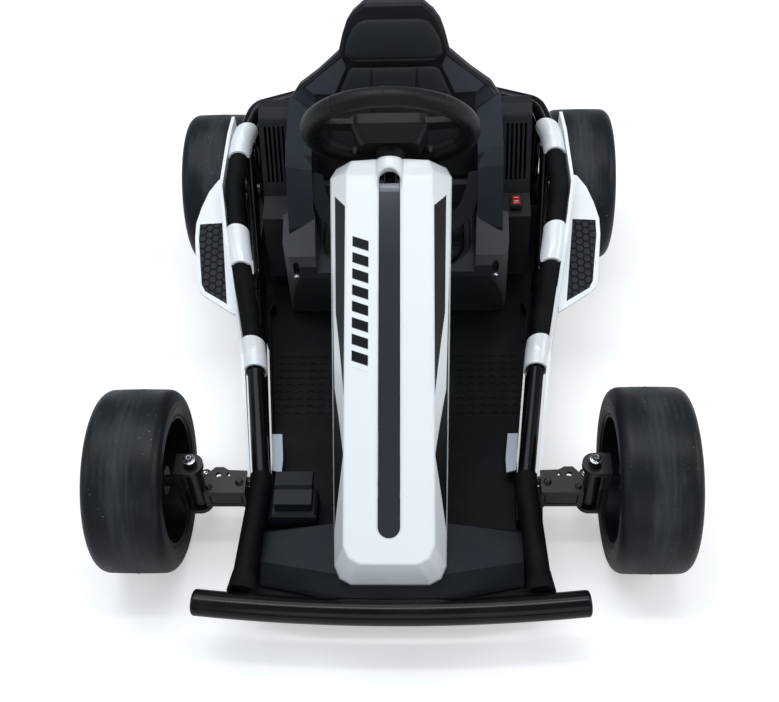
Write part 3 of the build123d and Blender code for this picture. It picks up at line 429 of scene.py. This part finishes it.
KINGPIN_X, KINGPIN_TOP = 275, 177.5
STEER_ARM, ARM_TOP = 45, 76
BEAM_TOP = 118
pocket_face = [(-22, -11), (22, -11), (22, 11), (-22, 11)]
lobe_outline = [(206, 2), (262, 2), (258, 20), (250, 27), (238, 27), (208, 22)]
beam_bolts, seat_bolts, closing_plates = [], [], []
for side, sign in SIDES:
    knuckle_bolts = [
        washer((sign * KINGPIN_X, AXLE, KINGPIN_TOP), Z_AXIS, 8.5),
        hex_bolt((sign * KINGPIN_X, AXLE, KINGPIN_TOP + 1), Z_AXIS, 5.2),
        hex_bolt((sign * KINGPIN_X, AXLE + STEER_ARM, ARM_TOP), Z_AXIS, 4.2),
    ]
    bolts_name = "knuckle_bolts_" + side
    place_piece(bolts_name, grids_mesh(bolts_name, knuckle_bolts), zinc, "knuckle_" + side)
    pocket_place = np.array([sign * 234, AXLE - 11, 100])
    closing_plates.append(rounded_slab(pocket_face, 2.6, 0.6, pocket_place, X_AXIS, Z_AXIS))
    lobe = [(sign * x, AXLE + behind) for x, behind in lobe_outline][::sign]
    closing_plates.append(rounded_slab(lobe, 2.0, 0.5, Z_AXIS * 96, X_AXIS, Y_AXIS))
    beam_bolts.append(hex_bolt((sign * 257, AXLE - 5, BEAM_TOP), Z_AXIS, 3.6))
    beam_bolts.append(hex_bolt((sign * 215, AXLE + 3, BEAM_TOP), Z_AXIS, 4.5))
    seat_bolts.append(hex_bolt((sign * 155, AXLE + 351, 172), -Y_AXIS, 3.4))
plates_mesh = grids_mesh("beam_closing_plates", closing_plates, smooth=False)
place_piece("beam_closing_plates", plates_mesh, chassis_black, "chassis")
bolts_mesh = grids_mesh("beam_bolts", beam_bolts)
place_piece("beam_bolts", bolts_mesh, chassis_black, "chassis")
place_piece("seat_bolts", grids_mesh("seat_bolts", seat_bolts), zinc, "chassis")


# Fairing: thick white gloss polypropylene with a smoked lens. Black film lies on its
# bevelled sides, in two long spears on each, and slanted bars of it run down the crown.
NOSE = np.array([0, AXLE - 158, 158.0])  # front end of the crown
RISE = math.radians(29)
FAIRING_LENGTH, FAIRING_DEPTH = 560, 46
BAR_STEP = 22.5
FIRST_BAR, LAST_BAR = 11.0, 19.02
ALONG = np.array([0, math.cos(RISE), math.sin(RISE)])
LIFT = np.array([0, -math.sin(RISE), math.cos(RISE)])


def fairing_film():
    """White plastic with black film. The film's masks use the share of the fairing's length and
    the fall from the crown, which is 0 at the crown's edge and 1 at the skirt. The bars count up
    along the crown, and each fills the last 0.64 of its step, between x -50 and -28 mm."""
    material, wire, place = placed_material("fairing_white")
    x, y, z = place.axes()
    behind, over = y - NOSE[1] * MM, z - NOSE[2] * MM
    run = behind * ALONG[1] + over * ALONG[2]
    height = behind * LIFT[1] + over * LIFT[2]
    share = run / (FAIRING_LENGTH * MM)
    fall = height * (-1 / (FAIRING_DEPTH * MM))
    soft = 0.012
    front_edge = share.ramp([(0.0, 0.03), (0.404, 0.03), (0.616, 0.68), (1.0, 0.70)])
    back_edge = share.ramp([(0.0, 0.03), (0.870, 0.03), (0.913, 0.68), (1.0, 1.0)])
    spear = share.above(0.404, 0.001) * (fall - back_edge).above(0.0, soft)
    spear = spear * (front_edge - fall).above(0.0, soft)
    low_edge = share.ramp([(0.0, 1.0), (0.091, 0.93), (0.264, 0.03), (0.43, 0.80), (0.70, 0.90), (1.0, 1.0)])
    low_spear = (fall - low_edge).above(0.0, soft) * (0.92 - fall).above(0.0, soft)
    count = (run + x * 0.34) / (BAR_STEP * MM)
    bars = count.maths("FRACT").above(0.36, 0.03) * count.above(FIRST_BAR, 0.02)
    bars = bars * (LAST_BAR - count).above(0, 0.02)
    bars = bars * (0 - x).above(0.028, 0.0004) * (x + 0.050).above(0, 0.0004)
    film = spear.maths("MAXIMUM", low_spear).maths("MAXIMUM", bars) * height.above(-0.05, 0.001)
    cloud = place.noise(8.0, 3.0)
    plastic = wire.principled(
        {
            "Base Color": cloud.blend((0.82, 0.855, 0.87, 1), (0.87, 0.895, 0.90, 1)),
            "Roughness": cloud * 0.08 + 0.20,
            "Coat Weight": 0.35,
            "Coat Roughness": 0.05,
            "Normal": wire.node("ShaderNodeBevel", {"samples": 4}, {"Radius": 7 * MM}),
        }
    )
    ink = place.noise(60.0, 3.0).blend((0.005, 0.005, 0.005, 1), (0.010, 0.009, 0.009, 1))
    black = wire.principled(
        {
            "Base Color": ink,
            "Roughness": cloud * 0.1 + 0.36,
            "Specular IOR Level": 0.12,
            "Normal": place.noise(900.0).bump(0.15, 0.0003),
        }
    )
    wire.node("ShaderNodeMixShader", {}, {0: film, 1: plastic, 2: black}).end()
    return material


dress(fairing_film(), "fairing_shell")
lens_smoke = finish_material("lens_smoke", (0.017, 0.021, 0.029), 0.14, coat=0.4, drift=0.04)
dress(lens_smoke, "fairing_lens")


# Cross bar in the lens slot: a pale grey moulded bar under the mouth of the cowl, where
# the lens ends. It is clipped over the edge of the lens.
bar_grey = finish_material("bar_grey", (0.17, 0.19, 0.22), 0.35, coat=0.3, grain=(0.1, 500))
bar_outline = [(-14, -6), (14, -6), (14, 6), (-14, 6)]
bar_place = NOSE + ALONG * 512.5 - LIFT * 3.4
cross_bar = rounded_slab(bar_outline, 3.5, 1.2, bar_place, X_AXIS, ALONG)
place_piece("lens_cross_bar", grids_mesh("lens_cross_bar", [cross_bar]), bar_grey, "chassis")


# Steering wheel: soft black foam over a steel ring, with a fine leather grain and
# raised mould seams round the rim, and a crowned pad over the hub on the driver's side.
def grained_material(name, colour, rough, cell_scale, depth, specular):
    """Leather-like finish: the edges between random cells are pressed in, and tone drifts."""
    material, wire, place = placed_material(name)
    cells = wire.node(
        "ShaderNodeTexVoronoi", {"feature": "DISTANCE_TO_EDGE"}, {"Vector": place, "Scale": cell_scale}
    )
    dark = [value * 0.8 for value in colour]
    light = [value * 1.2 for value in colour]
    cloud, tone = clouded(place, 12.0, dark, light)
    wire.principled(
        {
            "Base Color": tone,
            "Roughness": cloud * 0.12 + (rough - 0.06),
            "Specular IOR Level": specular,
            "Normal": cells.above(0.06, 0.06).bump(depth, 0.0005),
        }
    ).end()
    return material


wheel_foam = grained_material("wheel_foam", (0.005, 0.006, 0.007), 0.32, 900.0, 0.25, 0.22)
dress(wheel_foam, "steering_wheel")
dress(gloss_black, "steering_shaft")
WHEEL_PLACE = np.array([0, AXLE + 385, 428.0])
WHEEL_UP, WHEEL_FACE = LIFT, ALONG
RIM_RADIUS = 113
seam_rows = [(-1.6, 13.9), (-1.1, 14.35), (-0.3, 14.5), (0.3, 14.5), (1.1, 14.35), (1.6, 13.9)]
seams = []
for angle in (92, 52, 128, 8, 172):
    turn = math.radians(angle)
    outward = X_AXIS * math.cos(turn) + WHEEL_UP * math.sin(turn)
    tangent = WHEEL_UP * math.cos(turn) - X_AXIS * math.sin(turn)
    seams.append(turned(seam_rows, WHEEL_PLACE + outward * RIM_RADIUS, tangent, 32))
place_piece("rim_seams", grids_mesh("rim_seams", seams), wheel_foam, "steering")


PAD_ROWS, PAD_COLUMNS = 100, 150


def crowned_pad(half_widths, origin, right, up, rise, edge, lines=()):
    """Crown and flat underside over a shape of (place, half width) along its height. The crown is
    an edge's height times the root of the rounded fields (1 - s^6)^(1/3) and (1 - t^6)^(1/3), plus
    a rise (1 - s^2)(1 - t^2), minus sewn lines of (axis, place, depth, width), each a narrow bell."""
    places, widths = np.array(half_widths, float).T
    t = np.sin(np.linspace(-1, 1, PAD_ROWS) * math.pi / 2)
    s = np.sin(np.linspace(-1, 1, PAD_COLUMNS) * math.pi / 2)
    v = places[0] + (t + 1) / 2 * (places[-1] - places[0])
    half = np.interp(v, places, widths)
    for _ in range(3):
        half = np.convolve(np.pad(half, 1, mode="edge"), (0.25, 0.5, 0.25), mode="valid")
    grid_s, grid_t = np.meshgrid(s, t)
    field = (1 - np.abs(grid_s) ** 6) ** (1 / 3) * (1 - np.abs(grid_t) ** 6) ** (1 / 3)
    height = edge * field ** 0.5 + rise * (1 - grid_s**2) * (1 - grid_t**2)
    for axis, centre, depth, wide in lines:
        across = (grid_s * half[:, None] if axis == "s" else v[:, None]) - centre
        height = height - depth * np.exp(-((across / wide) ** 2)) * field
    under = origin + (grid_s * half[:, None])[..., None] * right + v[:, None, None] * up
    top = under + height[..., None] * np.cross(right, up)
    return top * MM, under * MM


def pad_mesh(name, top, under):
    """Closes a crowned pad: its top and its reversed underside share their rim."""
    faces = grid_faces(PAD_ROWS, PAD_COLUMNS, False, False)
    faces = np.concatenate([faces, faces[:, ::-1] + PAD_ROWS * PAD_COLUMNS])
    points = np.concatenate([top.reshape(-1, 3), under.reshape(-1, 3)])
    mesh = bpy.data.meshes.new(name)
    mesh.from_pydata(points.tolist(), [], faces.tolist())
    work = bmesh.new()
    work.from_mesh(mesh)
    bmesh.ops.remove_doubles(work, verts=work.verts, dist=0.00005)
    bmesh.ops.recalc_face_normals(work, faces=work.faces)
    work.to_mesh(mesh)
    work.free()
    mesh.polygons.foreach_set("use_smooth", [True] * len(mesh.polygons))
    return mesh


hub_shape = [(-34, 30), (-30, 40), (-10, 46), (16, 46), (28, 42), (34, 34)]
hub_lines = [("t", -20, 1.5, 1.6), ("t", 22, 1.5, 1.6)]
hub_pad = crowned_pad(hub_shape, WHEEL_PLACE + WHEEL_FACE * 8, -X_AXIS, WHEEL_UP, 3.0, 4.0, hub_lines)
place_piece("hub_pad", pad_mesh("hub_pad", *hub_pad), wheel_foam, "steering")


# Side panels: white gloss mouldings clipped over the rails, each with a black rubber
# step pad of hexagonal scales let into its wing.
WING_START, WING_Z = 290, 150
WING_SLOPE = math.radians(19.8)
SCALE_FALL = 0.75
panel_white = finish_material(
    "panel_white", (0.82, 0.85, 0.87), 0.24, coat=0.4, grain=(0.06, 240), drift=0.04, dust=0.01
)


def pad_rubber():
    """Black rubber with painted light and shade: the scale tops get a paler tone as painted highlight,
    and the grooves between them a darker one as painted shade. The tops of the scales lie less than a
    fall, in mm, under the wing's sloped plane, and the grooves between them lie deeper."""
    material, wire, place = placed_material("pad_rubber")
    y, z = place.axes()[1:]
    behind, over = y - (AXLE + WING_START) * MM, z - WING_Z * MM
    height = over * math.cos(WING_SLOPE) - behind * math.sin(WING_SLOPE)
    scale = height.above(-SCALE_FALL * MM, 0.1 * MM)
    painted_light_tone = clouded(place, 30.0, (0.009, 0.012, 0.016), (0.017, 0.022, 0.028))[1]
    wire.principled(
        {
            # Painted highlight on the scale tops, painted shade in the grooves between them.
            "Base Color": scale.blend((0.003, 0.004, 0.005, 1), painted_light_tone),
            "Roughness": 0.62 - scale * 0.2,
            "Specular IOR Level": 0.17,
            "Normal": place.noise(1500.0).bump(0.3, 0.0005),
        }
    ).end()
    return material


dress(panel_white, "side_panel_left", "side_panel_right")
dress(pad_rubber(), "step_pad_left", "step_pad_right")


# Seat: a hard black bucket moulding on a moulded base that holds the battery, with paler
# bands. The cushion, the back and the headrest are foam pads in a soft grained cover.
BOLSTER_FRONT = (AXLE + 382) * MM


def shell_plastic():
    """Black grained plastic with painted highlights: its bolsters are painted paler in front and on top,
    where their rounded edges catch the light. In front, that is less than 20 mm behind the slanted
    front edge. On top, it is over a plane that falls by 0.53 of the way in from the side and rises by
    0.19 of the way back."""
    material, wire, place = placed_material("shell_plastic")
    x, y, z = place.axes()
    behind = y - BOLSTER_FRONT
    soft = 0.0008
    # Painted highlight bands on the bolsters' fronts and tops, in the paler tone below.
    front = (0.020 - behind + (z - 0.190) * 0.55).above(0.0, soft)
    top = (z - 0.330 - (behind - 0.086) * 0.19 + (0.166 - abs(x)) * 0.53).above(0.0, soft)
    painted_highlight_band = front.maths("MAXIMUM", top * (0.192 - behind).above(0.0, soft))
    painted_highlight_band = painted_highlight_band * z.above(0.226, soft) * abs(x).above(0.126, soft)
    cloud, tone = clouded(place, 9.0, (0.0050, 0.0062, 0.0075), (0.0072, 0.0090, 0.0105))
    painted_light_tone = cloud.blend((0.021, 0.026, 0.034, 1), (0.028, 0.034, 0.044, 1))
    wire.principled(
        {
            "Base Color": painted_highlight_band.blend(tone, painted_light_tone),
            "Roughness": cloud * 0.12 + 0.38,
            "Specular IOR Level": 0.18,
            "Normal": place.noise(1100.0).bump(0.45, 0.0006),
        }
    ).end()
    return material


base_plastic = finish_material(
    "base_plastic", (0.022, 0.025, 0.030), 0.46, 0.35, grain=(0.45, 1100), drift=0.06, dust=0.05
)
band_plastic = finish_material(
    "band_plastic", (0.030, 0.037, 0.046), 0.42, 0.4, grain=(0.35, 1100), dust=0.02
)
seat_cover = grained_material("seat_cover", (0.012, 0.0145, 0.017), 0.46, 700.0, 0.4, 0.24)
dress(shell_plastic(), "seat_shell")
dress(base_plastic, "seat_base", "battery_pack")
dress(band_plastic, "seat_bands")
LEAN = math.radians(21)
BACK_UP = np.array([0, math.sin(LEAN), math.cos(LEAN)])
BACK_FACE = np.array([0, -math.cos(LEAN), math.sin(LEAN)])
BACK_PLACE = np.array([0, AXLE + 527, 240.0]) + BACK_FACE * 0.4
SEAT_FRONT = np.array([0, AXLE + 370, 165.4])


def soft_piece(name, node, *pad):
    """Places a crowned pad for the CAD solid that it stands for, and hides that solid."""
    piece = place_piece(name, pad_mesh(name, *crowned_pad(*pad)), seat_cover, "chassis")
    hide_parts(node)


back_shape = [(22, 90), (30, 104), (80, 103), (122, 88), (160, 71), (165, 64)]
back_lines = [("s", -35, 4.2, 1.8), ("s", 35, 4.2, 1.8), ("t", 74, 3.0, 1.8), ("t", 124, 2.4, 1.6)]
soft_piece("back_cushion", "back_pad", back_shape, BACK_PLACE, X_AXIS, BACK_UP, 3.5, 10, back_lines)

head_shape = [(171, 54), (175, 66), (184, 75), (205, 72), (222, 63), (233, 54), (237, 40)]
head_lines = [("t", 178, 1.2, 1.5)]
soft_piece("headrest_cushion", "headrest_pad", head_shape, BACK_PLACE, X_AXIS, BACK_UP, 2.2, 9, head_lines)

seat_shape = [(0, 56), (4, 72), (12, 87), (24, 98), (40, 106), (56, 108.5), (128, 108.5), (134, 100)]
seat_lines = [("s", -70, 2.2, 2.0), ("s", 70, 2.2, 2.0), ("t", 46, 2.0, 2.0), ("t", 92, 1.8, 1.8)]
soft_piece("seat_cushion_pad", "seat_cushion", seat_shape, SEAT_FRONT, X_AXIS, Y_AXIS, 5, 13, seat_lines)


# Lap straps: flat woven black webbing, bolted inside the bolsters. Each half hangs down
# into the seat and lies across the cushion.
def webbing_material():
    """Woven polyester: two sets of ribs at right angles, from a wave along x and one along y."""
    material, wire, place = placed_material("webbing")
    ribs = []
    for direction, scale in (("X", 260.0), ("Y", 320.0)):
        sockets = {"Vector": place, "Scale": scale, "Distortion": 0.4}
        ribs.append(wire.node("ShaderNodeTexWave", {"bands_direction": direction}, sockets))
    weave = ribs[0] * ribs[1]
    wire.principled(
        {
            "Base Color": weave.blend((0.010, 0.011, 0.013, 1), (0.030, 0.033, 0.038, 1)),
            "Roughness": 0.85 - weave * 0.2,
            "Specular IOR Level": 0.2,
            "Normal": weave.bump(0.5, 0.0005),
        }
    ).end()
    return material


def strap_grid(points, normals, wide, thick):
    """Flat band carried along a smooth path: twelve points round a rounded section at each step."""
    points, normals = np.array(points, float), np.array(normals, float)
    steps = np.linspace(0, len(points) - 1, 12 * (len(points) - 1) + 1)
    index = np.arange(len(points))
    path = np.stack([np.interp(steps, index, points[:, axis]) for axis in range(3)], axis=1)
    facing = np.stack([np.interp(steps, index, normals[:, axis]) for axis in range(3)], axis=1)
    for _ in range(20):
        path[1:-1] = (path[:-2] + 2 * path[1:-1] + path[2:]) / 4
    facing /= np.linalg.norm(facing, axis=1, keepdims=True)
    tangent = np.gradient(path, axis=0)
    side = np.cross(tangent, facing)
    side /= np.linalg.norm(side, axis=1, keepdims=True)
    turn = np.arange(12) * 2 * math.pi / 12
    flat = np.sign(np.cos(turn)) * np.abs(np.cos(turn)) ** 0.3 * wide / 2
    lift = np.sign(np.sin(turn)) * np.abs(np.sin(turn)) ** 0.6 * thick / 2
    size = np.ones((len(path), 1))
    size[[0, -1]] = 0.02
    grid = path[:, None] + (size * flat)[..., None] * side[:, None]
    return (grid + (size * lift)[..., None] * facing[:, None]) * MM


STRAP_WIDTH, STRAP_THICKNESS = 32, 1.8
strap_path = [
    (124, 474, 278), (121, 452, 256), (112, 438, 232), (94, 430, 212), (70, 432, 200), (46, 442, 193),
]
strap_facing = [
    (-0.9, -0.5, 0.4), (-0.8, -0.5, 0.5), (-0.6, -0.4, 0.7), (-0.4, -0.2, 0.9), (-0.1, -0.1, 1), (0, 0, 1),
]
straps = []
for _, sign in SIDES:
    points = [(sign * x, AXLE + behind, z) for x, behind, z in strap_path]
    facing = [(sign * x, y, z) for x, y, z in strap_facing]
    straps.append(strap_grid(points, facing, STRAP_WIDTH, STRAP_THICKNESS))
place_piece("lap_straps", grids_mesh("lap_straps", straps), webbing_material(), "chassis")


# Rear mouldings: slotted shrouds beside the seat with the red rocker switch on the left
# one's ledge, and the two gearboxes with their motors behind, round the steel axle.
shroud_plastic = finish_material(
    "shroud_plastic", (0.009, 0.010, 0.012), 0.5, 0.22, grain=(0.45, 1100), drift=0.06, dust=0.05
)
gearbox_black = finish_material(
    "gearbox_black", (0.012, 0.012, 0.013), 0.42, 0.4, grain=(0.4, 700), drift=0.08, dust=0.08
)
steel = finish_material("axle_steel", (0.50, 0.51, 0.53), 0.3, metal=1.0, grain=(0.15, 300), drift=0.08)
switch_red = finish_material(
    "switch_red", (0.42, 0.010, 0.012), 0.25, coat=0.3, grain=(0.05, 500), drift=0.04
)
# A flat white for the painted highlights on the switch's rocker.
painted_highlight_white = finish_material("painted_highlight_white", (0.80, 0.80, 0.80), 0.4, grain=(0.05, 500), drift=0.04)
dress(shroud_plastic, "rear_shroud_left", "rear_shroud_right")
dress(gearbox_black, "gearbox_left", "gearbox_right", "power_switch")
dress(steel, "rear_axle")
switch_low, switch_high = (np.array(corner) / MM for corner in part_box("power_switch"))
switch_top = np.array([*(switch_low + switch_high)[:2] / 2, switch_high[2]])
rocker_shape = [(-9.5, 5.6), (-8.5, 6.4), (8.5, 6.4), (9.5, 5.6)]
rocker = crowned_pad(rocker_shape, switch_top - Z_AXIS * 0.2, X_AXIS, Y_AXIS, 0.8, 2.0)
place_piece("switch_rocker", pad_mesh("switch_rocker", *rocker), switch_red, "chassis")
# Painted highlights: two thin white strips on the rocker's crown stand in for the lamps' glints.
highlight_outline = [(-3.4, -0.5), (3.4, -0.5), (3.4, 0.5), (-3.4, 0.5)]
painted_highlights = []
for shift in (-4.5, 3.5):
    highlight_place = switch_top + Y_AXIS * shift + Z_AXIS * 2.2
    painted_highlights.append(rounded_slab(highlight_outline, 0.5, 0.2, highlight_place, X_AXIS, Y_AXIS))
place_piece("switch_painted_highlights", grids_mesh("switch_painted_highlights", painted_highlights), painted_highlight_white, "chassis")
cap_rows = [(0, 14), (1.5, 20), (3, 21.4), (9, 22.6), (10, 22.6), (12, 21.8)]
motor_caps = [turned(cap_rows, (sign * 110, AXLE + 624, 158), (sign, 0, 0), 40) for _, sign in SIDES]
caps_mesh = grids_mesh("motor_caps", motor_caps)
place_piece("motor_caps", caps_mesh, gearbox_black, "chassis")


# Wheels: tyres of hard slick PVC, 256 mm across, blow-moulded in two halves. A fine seam
# runs round the middle, the tread is dusty and scuffed, and the shoulders stay darker.
# Each rim of black plastic has rolled lips and a zinc plated lock nut at its hub.
def tyre_material(name, centre):
    """Slick rubber worn on its tread: streaks are noise on (x, cosine, sine) of the wheel's
    angle, stretched round it; pale flecks are the peaks of a fine noise."""
    material, wire, place = placed_material(name)
    x, y, z = (along - middle for along, middle in zip(place.axes(), centre))
    radius = (y * y + z * z).maths("SQRT")
    ring = wire.node("ShaderNodeCombineXYZ", {}, {0: x * 90, 1: y / radius * 1.3, 2: z / radius * 1.3})
    streaks = ring.noise(1.6, 5.0)
    patches = place.noise(16.0, 5.0)
    tread = radius.above(0.121, 0.004)
    flecks = place.noise(420.0, 1.0).above(0.78, 0.02) * patches.above(0.5, 0.1) * tread
    middle = (0.019 - abs(x)).above(0.0, 0.013)
    dusty = (streaks * 0.5 + patches * 0.5 + middle * 0.24).above(0.70, 0.15) * tread
    base = patches.blend((0.006, 0.0075, 0.0088, 1), (0.011, 0.013, 0.015, 1))
    worn = (dusty * 0.6).blend(base, (0.058, 0.064, 0.070, 1))
    wire.principled(
        {
            "Base Color": flecks.blend(worn, (0.45, 0.45, 0.42, 1)),
            "Roughness": dusty * 0.2 + streaks * 0.1 + middle * 0.08 + 0.34,
            "Specular IOR Level": 0.20,
            "Normal": (place.noise(520.0, 3.0) + streaks * 0.8).bump(0.22, 0.0006),
        }
    ).end()
    return material


def tyre_grid(centre, hand):
    """Closed tyre section turned about the axle: a tread of radius 127.6 that falls 0.5 mm to its
    edges, with a seam bell at its middle, quarter-circle shoulders and bead rings down both walls."""
    edge, crown, shoulder = 36.5, 127.6, 16
    x = np.concatenate([np.linspace(-edge, -2, 10), np.linspace(-1.2, 1.2, 7), np.linspace(2, edge, 10)])
    tread = np.stack([x, crown - 0.5 * (x / edge) ** 2 + 0.4 * np.exp(-((x / 0.5) ** 2))], axis=1)
    turn = np.linspace(0, math.pi / 2, 9)[1:]
    rounded = np.stack([edge + shoulder * np.sin(turn), 111.1 + shoulder * np.cos(turn)], axis=1)
    wall = [
        (52.5, 108), (51.7, 106.8), (52.3, 105.6), (52.0, 100),
        (51.2, 98.8), (51.6, 97.4), (50.6, 94), (49.0, 92.1),
    ]
    half = np.concatenate([rounded, wall])
    profile = np.concatenate([half[::-1] * (-1, 1), tread, half])
    return turned(profile, centre / MM, (hand, 0, 0), 144)


def wheel_nut(centre, hand):
    """Domed lock nut over a broad washer on the axle's end."""
    outward = X_AXIS * hand
    place = centre / MM + outward * 31
    return [washer(place, outward, 17), hex_bolt(place + outward * 1.4, outward, 9)]


def rim_lips(centre, hand):
    """Two rolled lips round the rim, and a raised ring between its windows and its bead."""
    lip = [(46.0, 91.4), (47.6, 91.8), (49.0, 91.0), (49.4, 89.4), (48.4, 87.6), (46.4, 86.8), (44, 86.9)]
    ring = [(9.6, 62), (12.6, 63.2), (13.4, 65), (12.6, 66.8), (10.6, 68)]
    profiles = [lip, [(-along, radius) for along, radius in lip], ring]
    return [turned(rows, centre / MM, (hand, 0, 0), 96) for rows in profiles]


rim_plastic = finish_material(
    "rim_plastic", (0.003, 0.003, 0.004), 0.42, 0.18, 0.03, grain=(0.3, 700), drift=0.07, dust=0.05
)
for corner in ("front_left", "front_right", "rear_left", "rear_right"):
    tyre_low, tyre_high = (np.array(point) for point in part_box("tyre_" + corner))
    centre = (tyre_low + tyre_high) / 2
    hand = 1 if centre[0] > 0 else -1
    body = "wheel_" + corner
    tyre_name = "slick_tyre_" + corner
    tyre_mesh = grids_mesh(tyre_name, [tyre_grid(centre, hand)], along=True)
    tyre = place_piece(tyre_name, tyre_mesh, tyre_material("slick_" + corner, centre), body)
    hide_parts("tyre_" + corner)
    dress(rim_plastic, "rim_" + corner)
    lips = grids_mesh("rim_lips_" + corner, rim_lips(centre, hand))
    place_piece("rim_lips_" + corner, lips, rim_plastic, body)
    nut = grids_mesh("wheel_nut_" + corner, wheel_nut(centre, hand))
    place_piece("wheel_nut_" + corner, nut, zinc, body)
